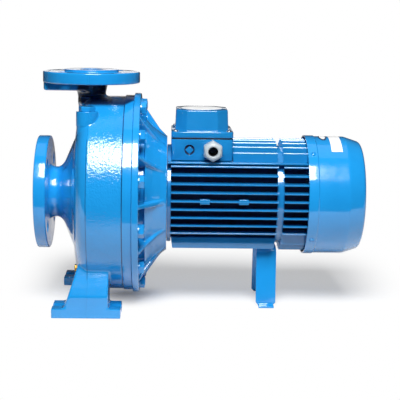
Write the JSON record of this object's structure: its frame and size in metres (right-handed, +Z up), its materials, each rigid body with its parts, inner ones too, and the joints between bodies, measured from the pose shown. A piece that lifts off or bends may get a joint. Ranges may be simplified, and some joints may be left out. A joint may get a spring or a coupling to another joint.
{
  "type": "centrifugal pump",
  "caption": "Close-coupled end-suction centrifugal pump with a finned electric motor, flanged suction and discharge ports, casing feet and a bent-strip motor stand.",
  "frame": {"origin": "on the floor, under the middle of the machine's overall length", "axes": "+X along the shaft from the suction flange to the fan cover, +Z up, -Y is the side with the cable gland"},
  "size_m": [0.4728, 0.289, 0.34],
  "materials": {
    "blue_paint": "gloss",
    "brass": "machined",
    "bright_steel": "machined",
    "bare_iron": "as cast",
    "grey_plastic": "satin",
    "black_rubber": "matte",
    "black_plastic": "satin"
  },
  "bodies": {
    "root": {"volute_casing": "blue_paint", "priming_plug": "blue_paint", "drain_plug": "brass", "impeller": "bare_iron", "impeller_nut": "bright_steel", "pump_shaft": "bright_steel", "lantern_bracket": "blue_paint", "motor_frame": "blue_paint", "rear_end_shield": "blue_paint", "cooling_fan": "black_plastic", "fan_cover": "blue_paint", "terminal_box_base": "blue_paint", "terminal_box_gasket": "black_rubber", "terminal_box_lid": "blue_paint", "entry_blanking_plug": "blue_paint", "cable_gland_body": "grey_plastic", "cable_gland_nut": "grey_plastic", "cable_gland_seal": "black_rubber", "motor_stand": "blue_paint"}
  },
  "joints": []
}
